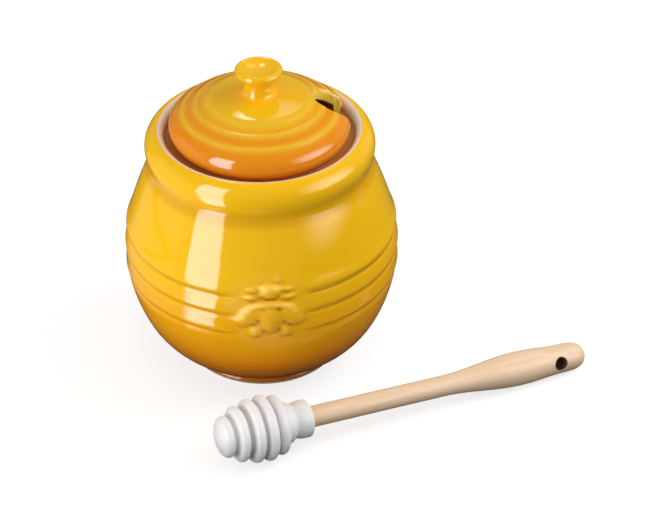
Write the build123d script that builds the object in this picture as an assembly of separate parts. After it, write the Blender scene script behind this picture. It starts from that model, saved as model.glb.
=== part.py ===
from build123d import *
import math
import os

# Glazed stoneware honey pot with a lift-off lid, and the honey dipper that belongs to it.
# Millimetres, +Z up. The origin is the centre of the pot's foot ring, on the table.
# The dipper lies on the table in front of the pot (-Y side), its grip to the right (+X side).

# ---------------------------------------------------------------- pot: outside
belly_radius = 55.0          # widest radius of the body
belly_curve_radius = 58.0    # of the upright curve above the widest place
under_curve_radius = 67.0    # of the flatter curve below it
base_curve_radius = 36.6     # tighter, where the body turns in to the foot
base_curve_angle = 25.0      # degrees below level where the tighter curve takes over
bead_inset = 17.8            # widest radius in to the middle of the rolled rim's round section
bead_rise = 46.3             # widest place up to that middle
bead_radius = 8.15
bead_neck_angle = 39.5       # degrees below level on that section where the shoulder runs into it
bore_inset = 17.5            # widest radius in to the rim's bore, around the lid
rim_round = 2.8              # tighter round from the bead over into the bore
foot_inset = 23.5            # widest radius in to the foot's outside
foot_round = 1.5             # round nose of the foot ring
foot_height = 4.0            # table up to where the base curve meets the foot ring
foot_land = 3.0              # flat width the pot stands on
base_recess = 1.6            # hollow under the base, inside the foot ring
recess_slope = 1.2

# ---------------------------------------------------------------- pot: inside
wall_thickness = 4.6
floor_rise = 1.2             # lowest point of the wall's inner curve up to the flat floor
ledge_depth = 4.05           # rim top down to the ledge the lid sits on
ledge_width = 6.5            # rim's bore in to the mouth, the hole inside the ledge
ledge_thickness = 4.6
ledge_round = 0.8            # soft edges of the ledge and of the corner above it
ledge_blend_drop = 7.0       # how far below the ledge its underside meets the wall

# ---------------------------------------------------------------- pot: hoops and grooves
groove_count = 3
top_groove_rise = 9.8        # widest place up to the top groove
groove_pitch = 8.9
groove_section = 1.6         # radius of the groove's round section
groove_depth = 0.5
panel_half_angle = 16.5      # degrees left plain on each side of the bee
bee_turn = -86.2             # direction of the bee from the axis, degrees from +X

# ---------------------------------------------------------------- lid
lid_gap = 1.95               # between the lid's edge and the rim's bore
lid_edge_round = 5.5         # round section of the lid's edge
lid_edge_lift = 5.7          # seat up to the middle of that round section
lid_edge_under = 45.0        # degrees below level where that round turns in to the seat
lid_dome_radius = 58.7
lid_thickness = 4.5
lid_seat_width = 1.9
flange_clearance = 0.6       # locating flange to the mouth, all round
flange_thickness = 4.5
flange_depth = 5.5           # seat down to the end of the flange
ring_insets = (15.2, 10.5, 5.4)   # lid's outside in to three fine raised rings on the dome
ring_section = 0.9
ring_proud = 0.35
slot_turn = 10.9             # direction of the dipper slot, degrees from +X
slot_width = 15.0
slot_length = 14.5           # lid's outside in to the closed end of the slot
slot_lip = 1.3               # rounding of the slot's upper edge
edge_match = 0.01            # how near an edge must lie to count as one of the slot's

# ---------------------------------------------------------------- knob on the lid
knob_base_radius = 7.6
knob_cove_rise = 0.25        # rise per unit inwards where the cove leaves the dome
knob_waist_radius = 5.7
knob_waist_lift = 4.0        # dome top up to the waist
knob_top_radius = 9.3
knob_lip_round = 1.5
knob_lip_under = 45.0        # degrees below level where the lip's round meets the flare
knob_height = 10.4           # dome top up to the top of the lip
knob_dish = 1.7              # hollow in the top

# ---------------------------------------------------------------- dipper head, along its own axis
dipper_length = 161.4
nose_radius = 8.2
nose_length = 4.4
nose_round = 1.1
nose_channel = 2.0           # depth of the channel behind the nose
ring_places = (9.0, 14.8, 20.2, 25.3)      # distances from the nose tip
ring_sizes = (11.0, 12.6, 13.0, 11.8)      # outer radii
ring_thickness = 3.9
ring_channel = 3.4           # depth of the channels between the rings
cove_round = 1.2             # inside round behind the last ring
neck_radius = 7.0
neck_place = 31.4
collar_radius = 7.5
collar_place = 35.4
head_length = 38.8
collar_round = 1.4

# ---------------------------------------------------------------- dipper handle
shaft_radius = 4.2
shaft_chamfer = 0.5          # on the end inside the head
socket_clearance = 0.05      # sliding fit of the shaft in the head, all round
socket_depth = 24.8
flare_start = 97.0           # where the shaft starts to swell, from the nose tip
grip_radius = 6.95
grip_place = 131.0
tail_radius = 5.9
tail_place = 150.5
hang_hole_radius = 2.7
hang_hole_place = 148.2
hang_hole_rise = 18.0        # degrees the hanging hole points up from level, on the -Y side
hang_hole_cut = 28.0         # length of the tool that cuts it

# ---------------------------------------------------------------- where the dipper lies
dipper_turn = 23.75          # direction of the handle, degrees from +X
dipper_nose_x = -16.4
dipper_distance = 27.2       # pot's widest radius out to the nose tip, towards -Y
table_gap = 0.03             # the dipper stays this far above the table's plane
skin_samples = 60            # points tried along each edge to find where it touches the table
steepest_tilt = 20.0         # the search for the resting tilt ends here, degrees
tilt_halvings = 40

# ---------------------------------------------------------------- bee in relief on the belly
# name: across, rise above the widest place, half length, half width, proud, lean from level (degrees)
bee_middle = {
    "head": (0.0, 13.1, 3.75, 3.65, 2.1, 0.0),
    "abdomen": (0.0, 1.8, 8.0, 3.9, 1.7, 90.0),
}
bee_pairs = {
    "wing": (6.5, 3.1, 7.6, 3.5, 1.25, -44.0),
    "upper_leg": (6.0, 13.9, 1.9, 0.8, 0.8, 8.0),
    "lower_leg": (7.0, 11.1, 2.4, 0.9, 0.9, -6.0),
    "foot": (5.6, -4.5, 2.7, 1.7, 1.2, -68.0),
    "feeler": (3.7, 17.5, 1.4, 0.6, 0.5, 62.0),
}


def polar(centre, radius, angle):
    """Point at an angle (degrees, counter-clockwise from level) on a circle."""
    turn = math.radians(angle)
    return (centre[0] + radius * math.cos(turn), centre[1] + radius * math.sin(turn))


def arc(centre, radius, start, end):
    """Arc of a circle from one angle to another."""
    middle = (start + end) / 2
    return ThreePointArc(polar(centre, radius, start), polar(centre, radius, middle),
                         polar(centre, radius, end))


def turned(outline):
    """Solid of revolution about Z from a closed outline of (radius, height) edges."""
    return revolve(make_face(Plane.XZ * Curve(outline)), Axis.Z)


# The body's upright outline: a tight base curve, two wide belly curves and a straight shoulder.
foot_radius = belly_radius - foot_inset
foot_neck = foot_radius - foot_round
base_shift = polar((0, 0), under_curve_radius - base_curve_radius, base_curve_angle)
base_centre_radius = belly_radius - under_curve_radius + base_shift[0]
base_up = math.sqrt(base_curve_radius ** 2 - (foot_neck - base_centre_radius) ** 2)
base_centre = (base_centre_radius, foot_height + base_up)
belly_height = base_centre[1] + base_shift[1]
belly_centre = (belly_radius - belly_curve_radius, belly_height)
under_centre = (belly_radius - under_curve_radius, belly_height)
bead_centre = (belly_radius - bead_inset, belly_height + bead_rise)
neck = polar(bead_centre, bead_radius, -bead_neck_angle)
rim_bore_radius = belly_radius - bore_inset
rim_round_out = rim_bore_radius + rim_round - bead_centre[0]
rim_round_up = math.sqrt((bead_radius - rim_round) ** 2 - rim_round_out ** 2)
rim_round_centre = (bead_centre[0] + rim_round_out, bead_centre[1] + rim_round_up)
rim_turn_angle = math.degrees(math.atan2(rim_round_up, rim_round_out))
rim_top = rim_round_centre[1] + rim_round
mouth_radius = rim_bore_radius - ledge_width
ledge_height = rim_top - ledge_depth
floor_height = base_centre[1] - (base_curve_radius - wall_thickness) + floor_rise


def tangent_angle(point, centre, radius):
    """Angle on a circle, from level, at which the tangent that climbs inwards meets a point."""
    to_point = math.atan2(point[1] - centre[1], point[0] - centre[0])
    return math.degrees(to_point - math.acos(radius / math.dist(point, centre)))


# Degrees above level where the belly's curve turns into the straight shoulder.
shoulder_angle = tangent_angle(neck, belly_centre, belly_curve_radius)


def shoulder_point(height, inset):
    """Point of the straight shoulder line, drawn in by inset, at a height."""
    start = polar(belly_centre, belly_curve_radius - inset, shoulder_angle)
    return (start[0] - (height - start[1]) * math.tan(math.radians(shoulder_angle)), height)


def belly_point(height):
    """Outer radius of the belly at a height, and how far its face leans up there (radians)."""
    curve = belly_curve_radius if height > belly_height else under_curve_radius
    slope = math.asin((height - belly_height) / curve)
    return belly_radius - curve * (1 - math.cos(slope)), slope


def on_belly(across, height):
    """Plane lying on the belly: x runs round the pot, y up it, z straight out of it."""
    turn = math.radians(bee_turn + math.degrees(across / belly_radius))
    radius, slope = belly_point(height)
    out = (math.cos(slope) * math.cos(turn), math.cos(slope) * math.sin(turn), math.sin(slope))
    round_way = (-math.sin(turn), math.cos(turn), 0)
    return Plane(origin=(radius * math.cos(turn), radius * math.sin(turn), height),
                 x_dir=round_way, z_dir=out)


def pot_outline():
    foot_inner = foot_neck - foot_land
    start_angle = -math.degrees(math.atan2(base_up, foot_neck - base_centre[0]))
    inner_floor = (base_centre[1] - floor_height) / (base_curve_radius - wall_thickness)
    floor_angle = -math.degrees(math.asin(inner_floor))
    blend_height = ledge_height - ledge_thickness - ledge_blend_drop
    blend = shoulder_point(blend_height, wall_thickness)
    ledge_under = (mouth_radius + ledge_round, ledge_height - ledge_thickness)
    upward = (-math.tan(math.radians(shoulder_angle)), 1)
    return [
        Line((0, base_recess), (foot_inner - recess_slope, base_recess)),
        Line((foot_inner - recess_slope, base_recess), (foot_inner, 0)),
        Line((foot_inner, 0), (foot_neck, 0)),
        arc((foot_neck, foot_round), foot_round, -90, 90),
        Line((foot_neck, 2 * foot_round), (foot_neck, foot_height)),
        arc(base_centre, base_curve_radius, start_angle, -base_curve_angle),
        arc(under_centre, under_curve_radius, -base_curve_angle, 0),
        arc(belly_centre, belly_curve_radius, 0, shoulder_angle),
        Line(polar(belly_centre, belly_curve_radius, shoulder_angle), neck),
        arc(bead_centre, bead_radius, -bead_neck_angle, rim_turn_angle),
        arc(rim_round_centre, rim_round, rim_turn_angle, 180),
        Line((rim_bore_radius, rim_round_centre[1]), (rim_bore_radius, ledge_height + ledge_round)),
        arc((rim_bore_radius - ledge_round, ledge_height + ledge_round), ledge_round, 0, -90),
        Line((rim_bore_radius - ledge_round, ledge_height), (mouth_radius + ledge_round, ledge_height)),
        arc((mouth_radius + ledge_round, ledge_height - ledge_round), ledge_round, 90, 180),
        Line((mouth_radius, ledge_height - ledge_round),
             (mouth_radius, ledge_height - ledge_thickness + ledge_round)),
        arc((mouth_radius + ledge_round, ledge_height - ledge_thickness + ledge_round),
            ledge_round, 180, 270),
        TangentArc(blend, ledge_under, tangent=upward),
        Line(blend, polar(belly_centre, belly_curve_radius - wall_thickness, shoulder_angle)),
        arc(belly_centre, belly_curve_radius - wall_thickness, shoulder_angle, 0),
        arc(under_centre, under_curve_radius - wall_thickness, 0, -base_curve_angle),
        arc(base_centre, base_curve_radius - wall_thickness, -base_curve_angle, floor_angle),
        Line(polar(base_centre, base_curve_radius - wall_thickness, floor_angle), (0, floor_height)),
        Line((0, floor_height), (0, base_recess)),
    ]


def groove_circle(rise):
    """Circle, in the upright plane, that cuts one groove into the belly's outline."""
    height = belly_height + rise
    radius, slope = belly_point(height)
    out = groove_section - groove_depth
    middle = (radius + out * math.cos(slope), height + out * math.sin(slope))
    return Plane.XZ * (Pos(middle[0], middle[1]) * Circle(groove_section))


def bee_form(across, rise, half_length, half_width, proud, lean):
    """One soft form of the relief: a flattened ball half sunk in the belly."""
    form = scale(Sphere(1), by=(half_length, half_width, proud))
    return on_belly(across, belly_height + rise).location * Rot(0, 0, lean) * form


def make_pot_body():
    """Turned body, grooved all round but for the plain panel that carries the bee."""
    plain = make_face(Plane.XZ * Curve(pot_outline()))
    grooved = plain
    for number in range(groove_count):
        grooved -= groove_circle(top_groove_rise - number * groove_pitch)
    panel = revolve(plain, Axis.Z, revolution_arc=2 * panel_half_angle)
    round_part = revolve(grooved, Axis.Z, revolution_arc=360 - 2 * panel_half_angle)
    body = Rot(0, 0, bee_turn + panel_half_angle) * round_part
    body += Rot(0, 0, bee_turn - panel_half_angle) * panel
    forms = [bee_form(*sizes) for sizes in bee_middle.values()]
    for across, rise, half_length, half_width, proud, lean in bee_pairs.values():
        for side in (1, -1):
            forms.append(bee_form(side * across, rise, half_length, half_width, proud, side * lean))
    return body + forms


# The lid's outline: a dome that runs smoothly into its round edge.
lid_radius = rim_bore_radius - lid_gap
slot_reach = lid_radius - slot_length
lid_edge_centre = (lid_radius - lid_edge_round, ledge_height + lid_edge_lift)
dome_drop = math.sqrt((lid_dome_radius - lid_edge_round) ** 2 - lid_edge_centre[0] ** 2)
dome_centre = (0, lid_edge_centre[1] - dome_drop)
dome_top = dome_centre[1] + lid_dome_radius
edge_meets_dome = math.degrees(math.atan2(dome_drop, lid_edge_centre[0]))
flange_radius = mouth_radius - flange_clearance
flange_inner = flange_radius - flange_thickness


def knob_outline():
    """Upper outline of the lid from the dome inwards: cove, flared lip and dished top."""
    foot_angle = math.degrees(math.acos(knob_base_radius / lid_dome_radius))
    foot = polar(dome_centre, lid_dome_radius, foot_angle)
    waist = (knob_waist_radius, dome_top + knob_waist_lift)
    lip_centre = (knob_top_radius - knob_lip_round, dome_top + knob_height - knob_lip_round)
    under = polar(lip_centre, knob_lip_round, -knob_lip_under)
    out_way = math.radians(knob_lip_under)
    crest = (lip_centre[0], lip_centre[1] + knob_lip_round)
    return [
        Spline(foot, waist, tangents=[(-1, knob_cove_rise), (0, 1)]),
        Spline(waist, under, tangents=[(0, 1), (math.sin(out_way), math.cos(out_way))]),
        arc(lip_centre, knob_lip_round, -knob_lip_under, 90),
        TangentArc((0, crest[1] - knob_dish), crest, tangent=(1, 0)),
    ], foot_angle, crest


def lid_shell_outline():
    """Dome with its knob and round edge, down to where that edge turns in to the seat."""
    knob_edges, foot_angle, crest = knob_outline()
    inner_curve = lid_dome_radius - lid_thickness
    inner_angle = math.degrees(math.acos(flange_inner / inner_curve))
    edge_end = polar(lid_edge_centre, lid_edge_round, -lid_edge_under)
    return [
        Line((0, dome_centre[1] + inner_curve), (0, crest[1] - knob_dish)),
        *knob_edges,
        arc(dome_centre, lid_dome_radius, foot_angle, edge_meets_dome),
        arc(lid_edge_centre, lid_edge_round, edge_meets_dome, -lid_edge_under),
        Line(edge_end, (flange_inner, edge_end[1])),
        Line((flange_inner, edge_end[1]), polar(dome_centre, inner_curve, inner_angle)),
        arc(dome_centre, inner_curve, inner_angle, 90),
    ]


def lid_seat_outline():
    """Ring under the dome: the seat that rests on the ledge, and the flange that centres it."""
    edge_end = polar(lid_edge_centre, lid_edge_round, -lid_edge_under)
    flange_end = ledge_height - flange_depth
    return Polyline((flange_inner, edge_end[1]), edge_end, (flange_radius + lid_seat_width, ledge_height),
                    (flange_radius, ledge_height), (flange_radius, flange_end),
                    (flange_inner, flange_end), (flange_inner, edge_end[1])).edges()


def dome_ring(radius):
    """Fine raised ring round the dome at a radius."""
    angle = math.degrees(math.acos(radius / lid_dome_radius))
    middle = polar(dome_centre, lid_dome_radius + ring_proud - ring_section, angle)
    return Pos(0, 0, middle[1]) * Torus(middle[0], ring_section)


def slot_prism(half_width, bottom, height):
    """U-shaped prism on the slot: closed end towards the knob, open past the lid's edge."""
    middle = slot_reach + slot_width / 2
    open_end = Pos(middle + lid_radius / 2, 0) * Rectangle(lid_radius, 2 * half_width)
    plan = Pos(middle, 0) * Circle(half_width) + open_end
    return Rot(0, 0, slot_turn) * Pos(0, 0, bottom) * extrude(plan, height)


def slot_lip_edges(shell):
    """Edges where the slot's walls meet the outside of the dome and its round edge."""
    turn = math.radians(slot_turn)
    inner_skin = lid_dome_radius - lid_thickness / 2
    found = []
    for edge in shell.edges():
        spot = edge @ 0.5
        radius = math.hypot(spot.X, spot.Y)
        along = spot.X * math.cos(turn) + spot.Y * math.sin(turn)
        across = spot.Y * math.cos(turn) - spot.X * math.sin(turn)
        start, end = edge @ 0, edge @ 1
        upright = math.dist((start.X, start.Y), (end.X, end.Y)) < edge_match
        level = abs(start.Z - end.Z) < edge_match and radius > slot_reach + slot_width / 2
        outside = math.dist(dome_centre, (radius, spot.Z)) > inner_skin or radius > flange_radius
        in_slot = abs(across) < slot_width / 2 + edge_match and along > slot_reach - edge_match
        if in_slot and outside and not upright and not level:
            found.append(edge)
    return found


def make_lid():
    slot = slot_prism(slot_width / 2, ledge_height - 2 * flange_depth, lid_dome_radius)
    # The turned shell's seam is put opposite the slot, where no rounding has to cross it.
    shell = Rot(0, 0, 180) * turned(lid_shell_outline()) - slot
    shell = fillet(slot_lip_edges(shell), slot_lip)
    lid = shell + (Rot(0, 0, 180) * turned(lid_seat_outline()) - slot)
    ring_gap = slot_prism(slot_width / 2 + slot_lip, ledge_height, lid_dome_radius)
    for inset in ring_insets:
        lid += dome_ring(lid_radius - inset) - ring_gap
    return lid


# Dipper pieces are drawn along +X from the nose tip, then laid on the table.
ring_half = ring_thickness / 2


def turned_long(outline):
    """Solid of revolution about X from a closed outline of (place, radius) edges."""
    return revolve(make_face(Curve(outline)), Axis.X)


def head_skin():
    """Outside of the soft head: domed nose, rings with channels between, neck and collar."""
    nose_back = nose_length + nose_round
    nose_root = nose_radius - nose_channel
    diagonal = math.sqrt(0.5)
    nose_crown = (nose_length * (1 - diagonal), nose_radius * diagonal)
    gap = (ring_places[0] - ring_half - nose_back) / 2
    edges = [
        Spline((0, 0), nose_crown, (nose_length, nose_radius), tangents=[(0, 1), (1, 0)]),
        arc((nose_length, nose_radius - nose_round), nose_round, 90, 0),
        Line((nose_back, nose_radius - nose_round), (nose_back, nose_root + gap)),
        arc((nose_back + gap, nose_root + gap), gap, 180, 360),
    ]
    root = nose_root + gap
    for number, (place, size) in enumerate(zip(ring_places, ring_sizes)):
        tip = size - ring_half
        edges += [Line((place - ring_half, root), (place - ring_half, tip)),
                  arc((place, tip), ring_half, 180, 0)]
        if number + 1 < len(ring_places):
            following = ring_places[number + 1]
            gap = (following - place) / 2 - ring_half
            root = min(size, ring_sizes[number + 1]) - ring_channel + gap
            edges += [Line((place + ring_half, tip), (place + ring_half, root)),
                      arc((place + ring_half + gap, root), gap, 180, 360)]
    last = ring_places[-1] + ring_half
    cove = ring_sizes[-1] - ring_channel
    edges += [
        Line((last, ring_sizes[-1] - ring_half), (last, cove + cove_round)),
        arc((last + cove_round, cove + cove_round), cove_round, 180, 270),
        Spline((last + cove_round, cove), (neck_place, neck_radius), (collar_place, collar_radius),
               tangents=[(1, 0), (1, 0)]),
        Line((collar_place, collar_radius), (head_length - collar_round, collar_radius)),
        arc((head_length - collar_round, collar_radius - collar_round), collar_round, 90, 0),
    ]
    return edges


def handle_skin():
    """Outside of the turned handle: straight shaft, swelling grip and rounded tail."""
    start = head_length - socket_depth
    return [
        Line((start, 0), (start, shaft_radius - shaft_chamfer)),
        Line((start, shaft_radius - shaft_chamfer), (start + shaft_chamfer, shaft_radius)),
        Line((start + shaft_chamfer, shaft_radius), (flare_start, shaft_radius)),
        Spline((flare_start, shaft_radius), (grip_place, grip_radius), tangents=[(1, 0), (1, 0)]),
        Spline((grip_place, grip_radius), (tail_place, tail_radius), (dipper_length, 0),
               tangents=[(1, 0), (0, -1)]),
    ]


def make_dipper_head():
    socket_radius = shaft_radius + socket_clearance
    socket_end = head_length - socket_depth
    return turned_long(head_skin() + [
        Line((head_length, collar_radius - collar_round), (head_length, socket_radius)),
        Line((head_length, socket_radius), (socket_end, socket_radius)),
        Line((socket_end, socket_radius), (socket_end, 0)),
        Line((socket_end, 0), (0, 0)),
    ])


def make_dipper_handle():
    handle = turned_long(handle_skin() + [Line((dipper_length, 0), (head_length - socket_depth, 0))])
    hole = Rot(90 - hang_hole_rise, 0, 0) * Cylinder(hang_hole_radius, hang_hole_cut)
    return handle - Pos(hang_hole_place, 0, 0) * hole


def reach_below(skin, tilt):
    """How far below the nose tip a skin reaches when the axis dips by tilt degrees."""
    dip = math.radians(tilt)
    points = [edge @ (step / skin_samples) for edge in skin for step in range(skin_samples + 1)]
    return max(point.X * math.sin(dip) + point.Y * math.cos(dip) for point in points)


def resting_tilt():
    """Tilt at which both the head and the grip touch the table."""
    low, high = 0.0, steepest_tilt
    for _ in range(tilt_halvings):
        middle = (low + high) / 2
        if reach_below(head_skin(), middle) > reach_below(handle_skin(), middle):
            low = middle
        else:
            high = middle
    return low


dipper_tilt = resting_tilt()
nose_height = reach_below(head_skin(), dipper_tilt) + table_gap
nose_tip = Pos(dipper_nose_x, -(belly_radius + dipper_distance), nose_height)
dipper_place = nose_tip * Rot(0, 0, dipper_turn) * Rot(0, dipper_tilt, 0)

pieces = {
    "pot_body": make_pot_body(),
    "lid": make_lid(),
    "dipper_handle": dipper_place * make_dipper_handle(),
    "dipper_head": dipper_place * make_dipper_head(),
}

os.makedirs("parts", exist_ok=True)
for node, solid in pieces.items():
    export_step(solid, f"parts/{node}.step")
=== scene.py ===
import bpy
import math
import numpy as np
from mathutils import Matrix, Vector


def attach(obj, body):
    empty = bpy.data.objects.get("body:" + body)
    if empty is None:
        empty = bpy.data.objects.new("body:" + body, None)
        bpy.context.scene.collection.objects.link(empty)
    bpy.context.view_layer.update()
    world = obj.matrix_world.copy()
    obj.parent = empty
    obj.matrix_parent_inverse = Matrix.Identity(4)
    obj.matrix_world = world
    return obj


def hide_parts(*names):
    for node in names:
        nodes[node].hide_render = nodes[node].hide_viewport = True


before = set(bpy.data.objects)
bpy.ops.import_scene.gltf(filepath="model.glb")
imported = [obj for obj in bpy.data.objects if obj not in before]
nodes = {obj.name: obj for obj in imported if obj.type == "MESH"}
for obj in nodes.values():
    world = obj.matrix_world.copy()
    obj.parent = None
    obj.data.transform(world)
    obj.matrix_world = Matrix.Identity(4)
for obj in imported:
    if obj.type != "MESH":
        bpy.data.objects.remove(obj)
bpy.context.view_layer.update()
mm = 0.001
perMetre = 1 / mm  # millimetres in a metre, for patterns laid out in millimetres
weldGap = 0.002 * mm
print("frame loaded:", ", ".join(sorted(nodes)))


# camera, set for a 650 x 508 image
cameraSetup = {
    "place": (0.02552, -0.73072, 0.55908),
    "pitchDown": 35.23,
    "focalPixels": 2200,
    "imageWidth": 650,
    "sensorWidth": 36.0,
}


def addCamera(setup):
    data = bpy.data.cameras.new("camera")
    data.sensor_width = setup["sensorWidth"]
    data.lens = setup["focalPixels"] * setup["sensorWidth"] / setup["imageWidth"]
    camera = bpy.data.objects.new("camera", data)
    bpy.context.scene.collection.objects.link(camera)
    camera.location = setup["place"]
    camera.rotation_euler = (math.radians(90 - setup["pitchDown"]), 0, 0)
    bpy.context.scene.camera = camera


addCamera(cameraSetup)
bpy.context.scene.view_settings.view_transform = "Standard"
print("camera placed")


# shader arithmetic: a Wire wraps one socket, and sums on it add Math nodes
class Wire:
    def __init__(self, tree, socket=None):
        self.tree = tree
        self.socket = socket

    def node(self, kind, settings=None, inputs=None, output=0):
        made = self.tree.nodes.new(kind)
        for name, value in (settings or {}).items():
            if name == "stops":
                fillRamp(made.color_ramp, value)
            else:
                setattr(made, name, value)
        for name, value in (inputs or {}).items():
            if isinstance(value, Wire):
                self.tree.links.new(value.socket, made.inputs[name])
            else:
                made.inputs[name].default_value = value
        return Wire(self.tree, made.outputs[output])

    def sum(self, operation, *values):
        return self.node("ShaderNodeMath", {"operation": operation}, dict(enumerate(values)))

    def __add__(self, other): return self.sum("ADD", self, other)
    def __radd__(self, other): return self.sum("ADD", other, self)
    def __sub__(self, other): return self.sum("SUBTRACT", self, other)
    def __rsub__(self, other): return self.sum("SUBTRACT", other, self)
    def __mul__(self, other): return self.sum("MULTIPLY", self, other)
    def __rmul__(self, other): return self.sum("MULTIPLY", other, self)
    def __truediv__(self, other): return self.sum("DIVIDE", self, other)
    def __pow__(self, other): return self.sum("POWER", self, other)

    def between(self, low, high):
        # 0 below low, 1 above high, smooth in between
        return self.node("ShaderNodeMapRange", {"interpolation_type": "SMOOTHSTEP"},
                         {0: self, 1: low, 2: high, 3: 0.0, 4: 1.0})

    def noise(self, vector, scale, detail=2.0, roughness=0.5):
        inputs = {"Vector": vector, "Scale": scale, "Detail": detail, "Roughness": roughness}
        return self.node("ShaderNodeTexNoise", {}, inputs)

    def blend(self, factor, first, second):
        inputs = {0: factor, 6: first, 7: second}
        return self.node("ShaderNodeMix", {"data_type": "RGBA"}, inputs, 2)

    def xyz(self, vector):
        return [self.node("ShaderNodeSeparateXYZ", {}, {0: vector}, axis) for axis in range(3)]

    def attribute(self, name):
        return self.node("ShaderNodeAttribute", {"attribute_name": name}, {}, "Fac")

    def bump(self, height, distance, strength=1.0):
        return self.node("ShaderNodeBump", {},
                         {"Height": height, "Distance": distance, "Strength": strength})


def fillRamp(ramp, stops):
    while len(ramp.elements) < len(stops):
        ramp.elements.new(0.5)
    for element, (place, colour) in zip(ramp.elements, stops):
        element.position = place
        element.color = colour


def colour(red, green, blue):
    # display values, 0 to 255, to the linear colour that a socket takes
    def linear(value):
        part = value / 255
        return part / 12.92 if part <= 0.04045 else ((part + 0.055) / 1.055) ** 2.4
    return (linear(red), linear(green), linear(blue), 1.0)


def newMaterial(name):
    material = bpy.data.materials.new(name)
    material.use_nodes = True
    tree = material.node_tree
    tree.nodes.clear()
    return material, Wire(tree)


def finishMaterial(shop, fixed, linked):
    # fixed: constants set on the shader's own sockets; linked: wires that vary over the surface
    tree = shop.tree
    shader = tree.nodes.new("ShaderNodeBsdfPrincipled")
    for name, value in fixed.items():
        shader.inputs[name].default_value = value
    for name, wire in linked.items():
        tree.links.new(wire.socket, shader.inputs[name])
    out = tree.nodes.new("ShaderNodeOutputMaterial")
    tree.links.new(shader.outputs[0], out.inputs["Surface"])


def dress(piece, material):
    piece.data.materials.clear()
    piece.data.materials.append(material)


# modelling helpers
def clearSelection():
    bpy.ops.object.select_all(action="DESELECT")


def polar(centre, radius, angle):
    turn = math.radians(angle)
    return (centre[0] + radius * math.cos(turn), centre[1] + radius * math.sin(turn))


def wayTo(place, other):
    # direction from one point to another, in degrees
    return math.degrees(math.atan2(other[1] - place[1], other[0] - place[0]))


def meetCircles(first, firstRadius, second, secondRadius):
    # where two circles cross, on the right going from the first centre to the second
    apart = math.dist(first, second)
    along = (apart ** 2 + firstRadius ** 2 - secondRadius ** 2) / (2 * apart)
    spread = math.degrees(math.acos(along / firstRadius))
    return polar(first, firstRadius, wayTo(first, second) - spread)


def arcPoints(centre, radius, start, end, step):
    # points along an arc, about step apart, both ends included
    count = max(2, math.ceil(abs(math.radians(end - start)) * radius / step))
    return [polar(centre, radius, start + (end - start) * n / count) for n in range(count + 1)]


def linePoints(start, end, step):
    count = max(1, math.ceil(math.dist(start, end) / step))
    return [(start[0] + (end[0] - start[0]) * n / count, start[1] + (end[1] - start[1]) * n / count)
            for n in range(count + 1)]


def bendPoints(start, corner, end, count):
    # points along a curve that leaves start towards corner and reaches end from it
    points = []
    for n in range(count + 1):
        share = n / count
        points.append(tuple((1 - share) ** 2 * a + 2 * share * (1 - share) * b + share ** 2 * c
                            for a, b, c in zip(start, corner, end)))
    return points


def lathe(name, outline, startTurn, sectors):
    # outline: (radius, height) points in millimetres; sectors: (degrees, steps), spun in turn
    clearSelection()
    turn = math.radians(startTurn)
    places = [Vector((r * math.cos(turn), r * math.sin(turn), z)) * mm for r, z in outline]
    bpy.ops.mesh.primitive_plane_add(size=mm, location=places[0])
    piece = bpy.context.object
    piece.name = piece.data.name = name
    bpy.ops.object.transform_apply(location=True, rotation=True, scale=True)
    bpy.ops.object.mode_set(mode="EDIT")
    bpy.ops.mesh.select_mode(type="VERT")
    bpy.ops.mesh.merge(type="CENTER")
    for before, after in zip(places, places[1:]):
        bpy.ops.mesh.extrude_region_move(TRANSFORM_OT_translate={"value": after - before})
    bpy.ops.mesh.select_all(action="SELECT")
    for degrees, steps in sectors:
        bpy.ops.mesh.spin(steps=steps, angle=math.radians(degrees), center=(0, 0, 0),
                          axis=(0, 0, 1))
    bpy.ops.mesh.select_all(action="SELECT")
    bpy.ops.mesh.remove_doubles(threshold=weldGap)
    bpy.ops.mesh.normals_make_consistent(inside=False)
    bpy.ops.object.mode_set(mode="OBJECT")
    bpy.ops.object.shade_smooth()
    return piece


# the pot: glazed body with a rolled rim, hoops round the belly and a bee in relief (millimetres)
potShape = {
    "belly": (-3.0, 50.475), "bellyCurve": 58.0, "shoulderAngle": 20.645,
    "crownStart": 17.6, "crownCurve": 190.0,
    "under": (-12.0, 50.475), "underCurve": 67.0,
    "base": (15.552, 37.627), "baseCurve": 36.6, "baseAngle": 25.0,
    "bead": (37.2, 96.775), "beadRadius": 8.15, "neckFillet": 5.5,
    "rimRound": (40.3, 101.135), "rimRadius": 2.8, "rimTurn": 54.589,
    "rimBore": 37.5, "ledgeHeight": 99.885, "ledgeThickness": 4.6, "mouth": 31.0, "ledgeRound": 0.8,
    "ledgeBlend": 7.0, "wall": 4.6, "floor": 6.827,
    "foot": 31.5, "footRound": 1.5, "footLand": 3.0, "baseRecess": 1.6, "recessSlope": 1.2,
    # spacing of the outline's points, fine where the relief lies
    "fineStep": 0.23, "fineFrom": 39.0, "coarseStep": 2.4, "flatStep": 4.0, "slopeStep": 0.6,
    "landStep": 1.0, "footStep": 0.35, "filletStep": 0.7, "beadStep": 0.8, "rimStep": 0.4,
    "roundStep": 0.3, "blendPoints": 8, "insideStep": 4.8, "floorBendStep": 3.6,
    "backSteps": 150,
}


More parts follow.
